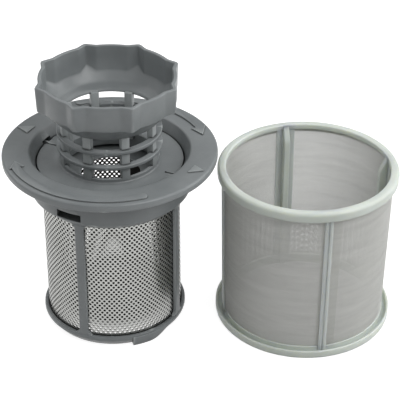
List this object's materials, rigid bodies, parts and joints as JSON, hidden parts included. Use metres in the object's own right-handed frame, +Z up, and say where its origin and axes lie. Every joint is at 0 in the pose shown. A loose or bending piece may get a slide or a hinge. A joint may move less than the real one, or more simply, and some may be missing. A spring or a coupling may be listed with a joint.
{
  "type": "dishwasher filter",
  "caption": "Dishwasher filter taken apart: a flanged coarse filter with lobed grip, slotted neck and perforated steel cage, beside its fine sleeve of woven steel mesh.",
  "frame": {"origin": "middle of the pair on the standing surface, at the bottom of the bounding box", "axes": "+Z up along both filters' axes, +X from the coarse filter to the sleeve, -Y towards the front"},
  "size_m": [0.2124, 0.115, 0.1473],
  "materials": {
    "grey_plastic": "moulded polypropylene, satin",
    "perforated_steel": "bright perforated sheet",
    "natural_plastic": "milky, unpigmented moulding",
    "woven_steel": "fine woven wire"
  },
  "bodies": {
    "root": {"filter_body": "grey_plastic", "coarse_insert": "grey_plastic", "perforated_tube": "perforated_steel", "sleeve_frame": "natural_plastic", "sleeve_mesh": "woven_steel"}
  },
  "joints": []
}
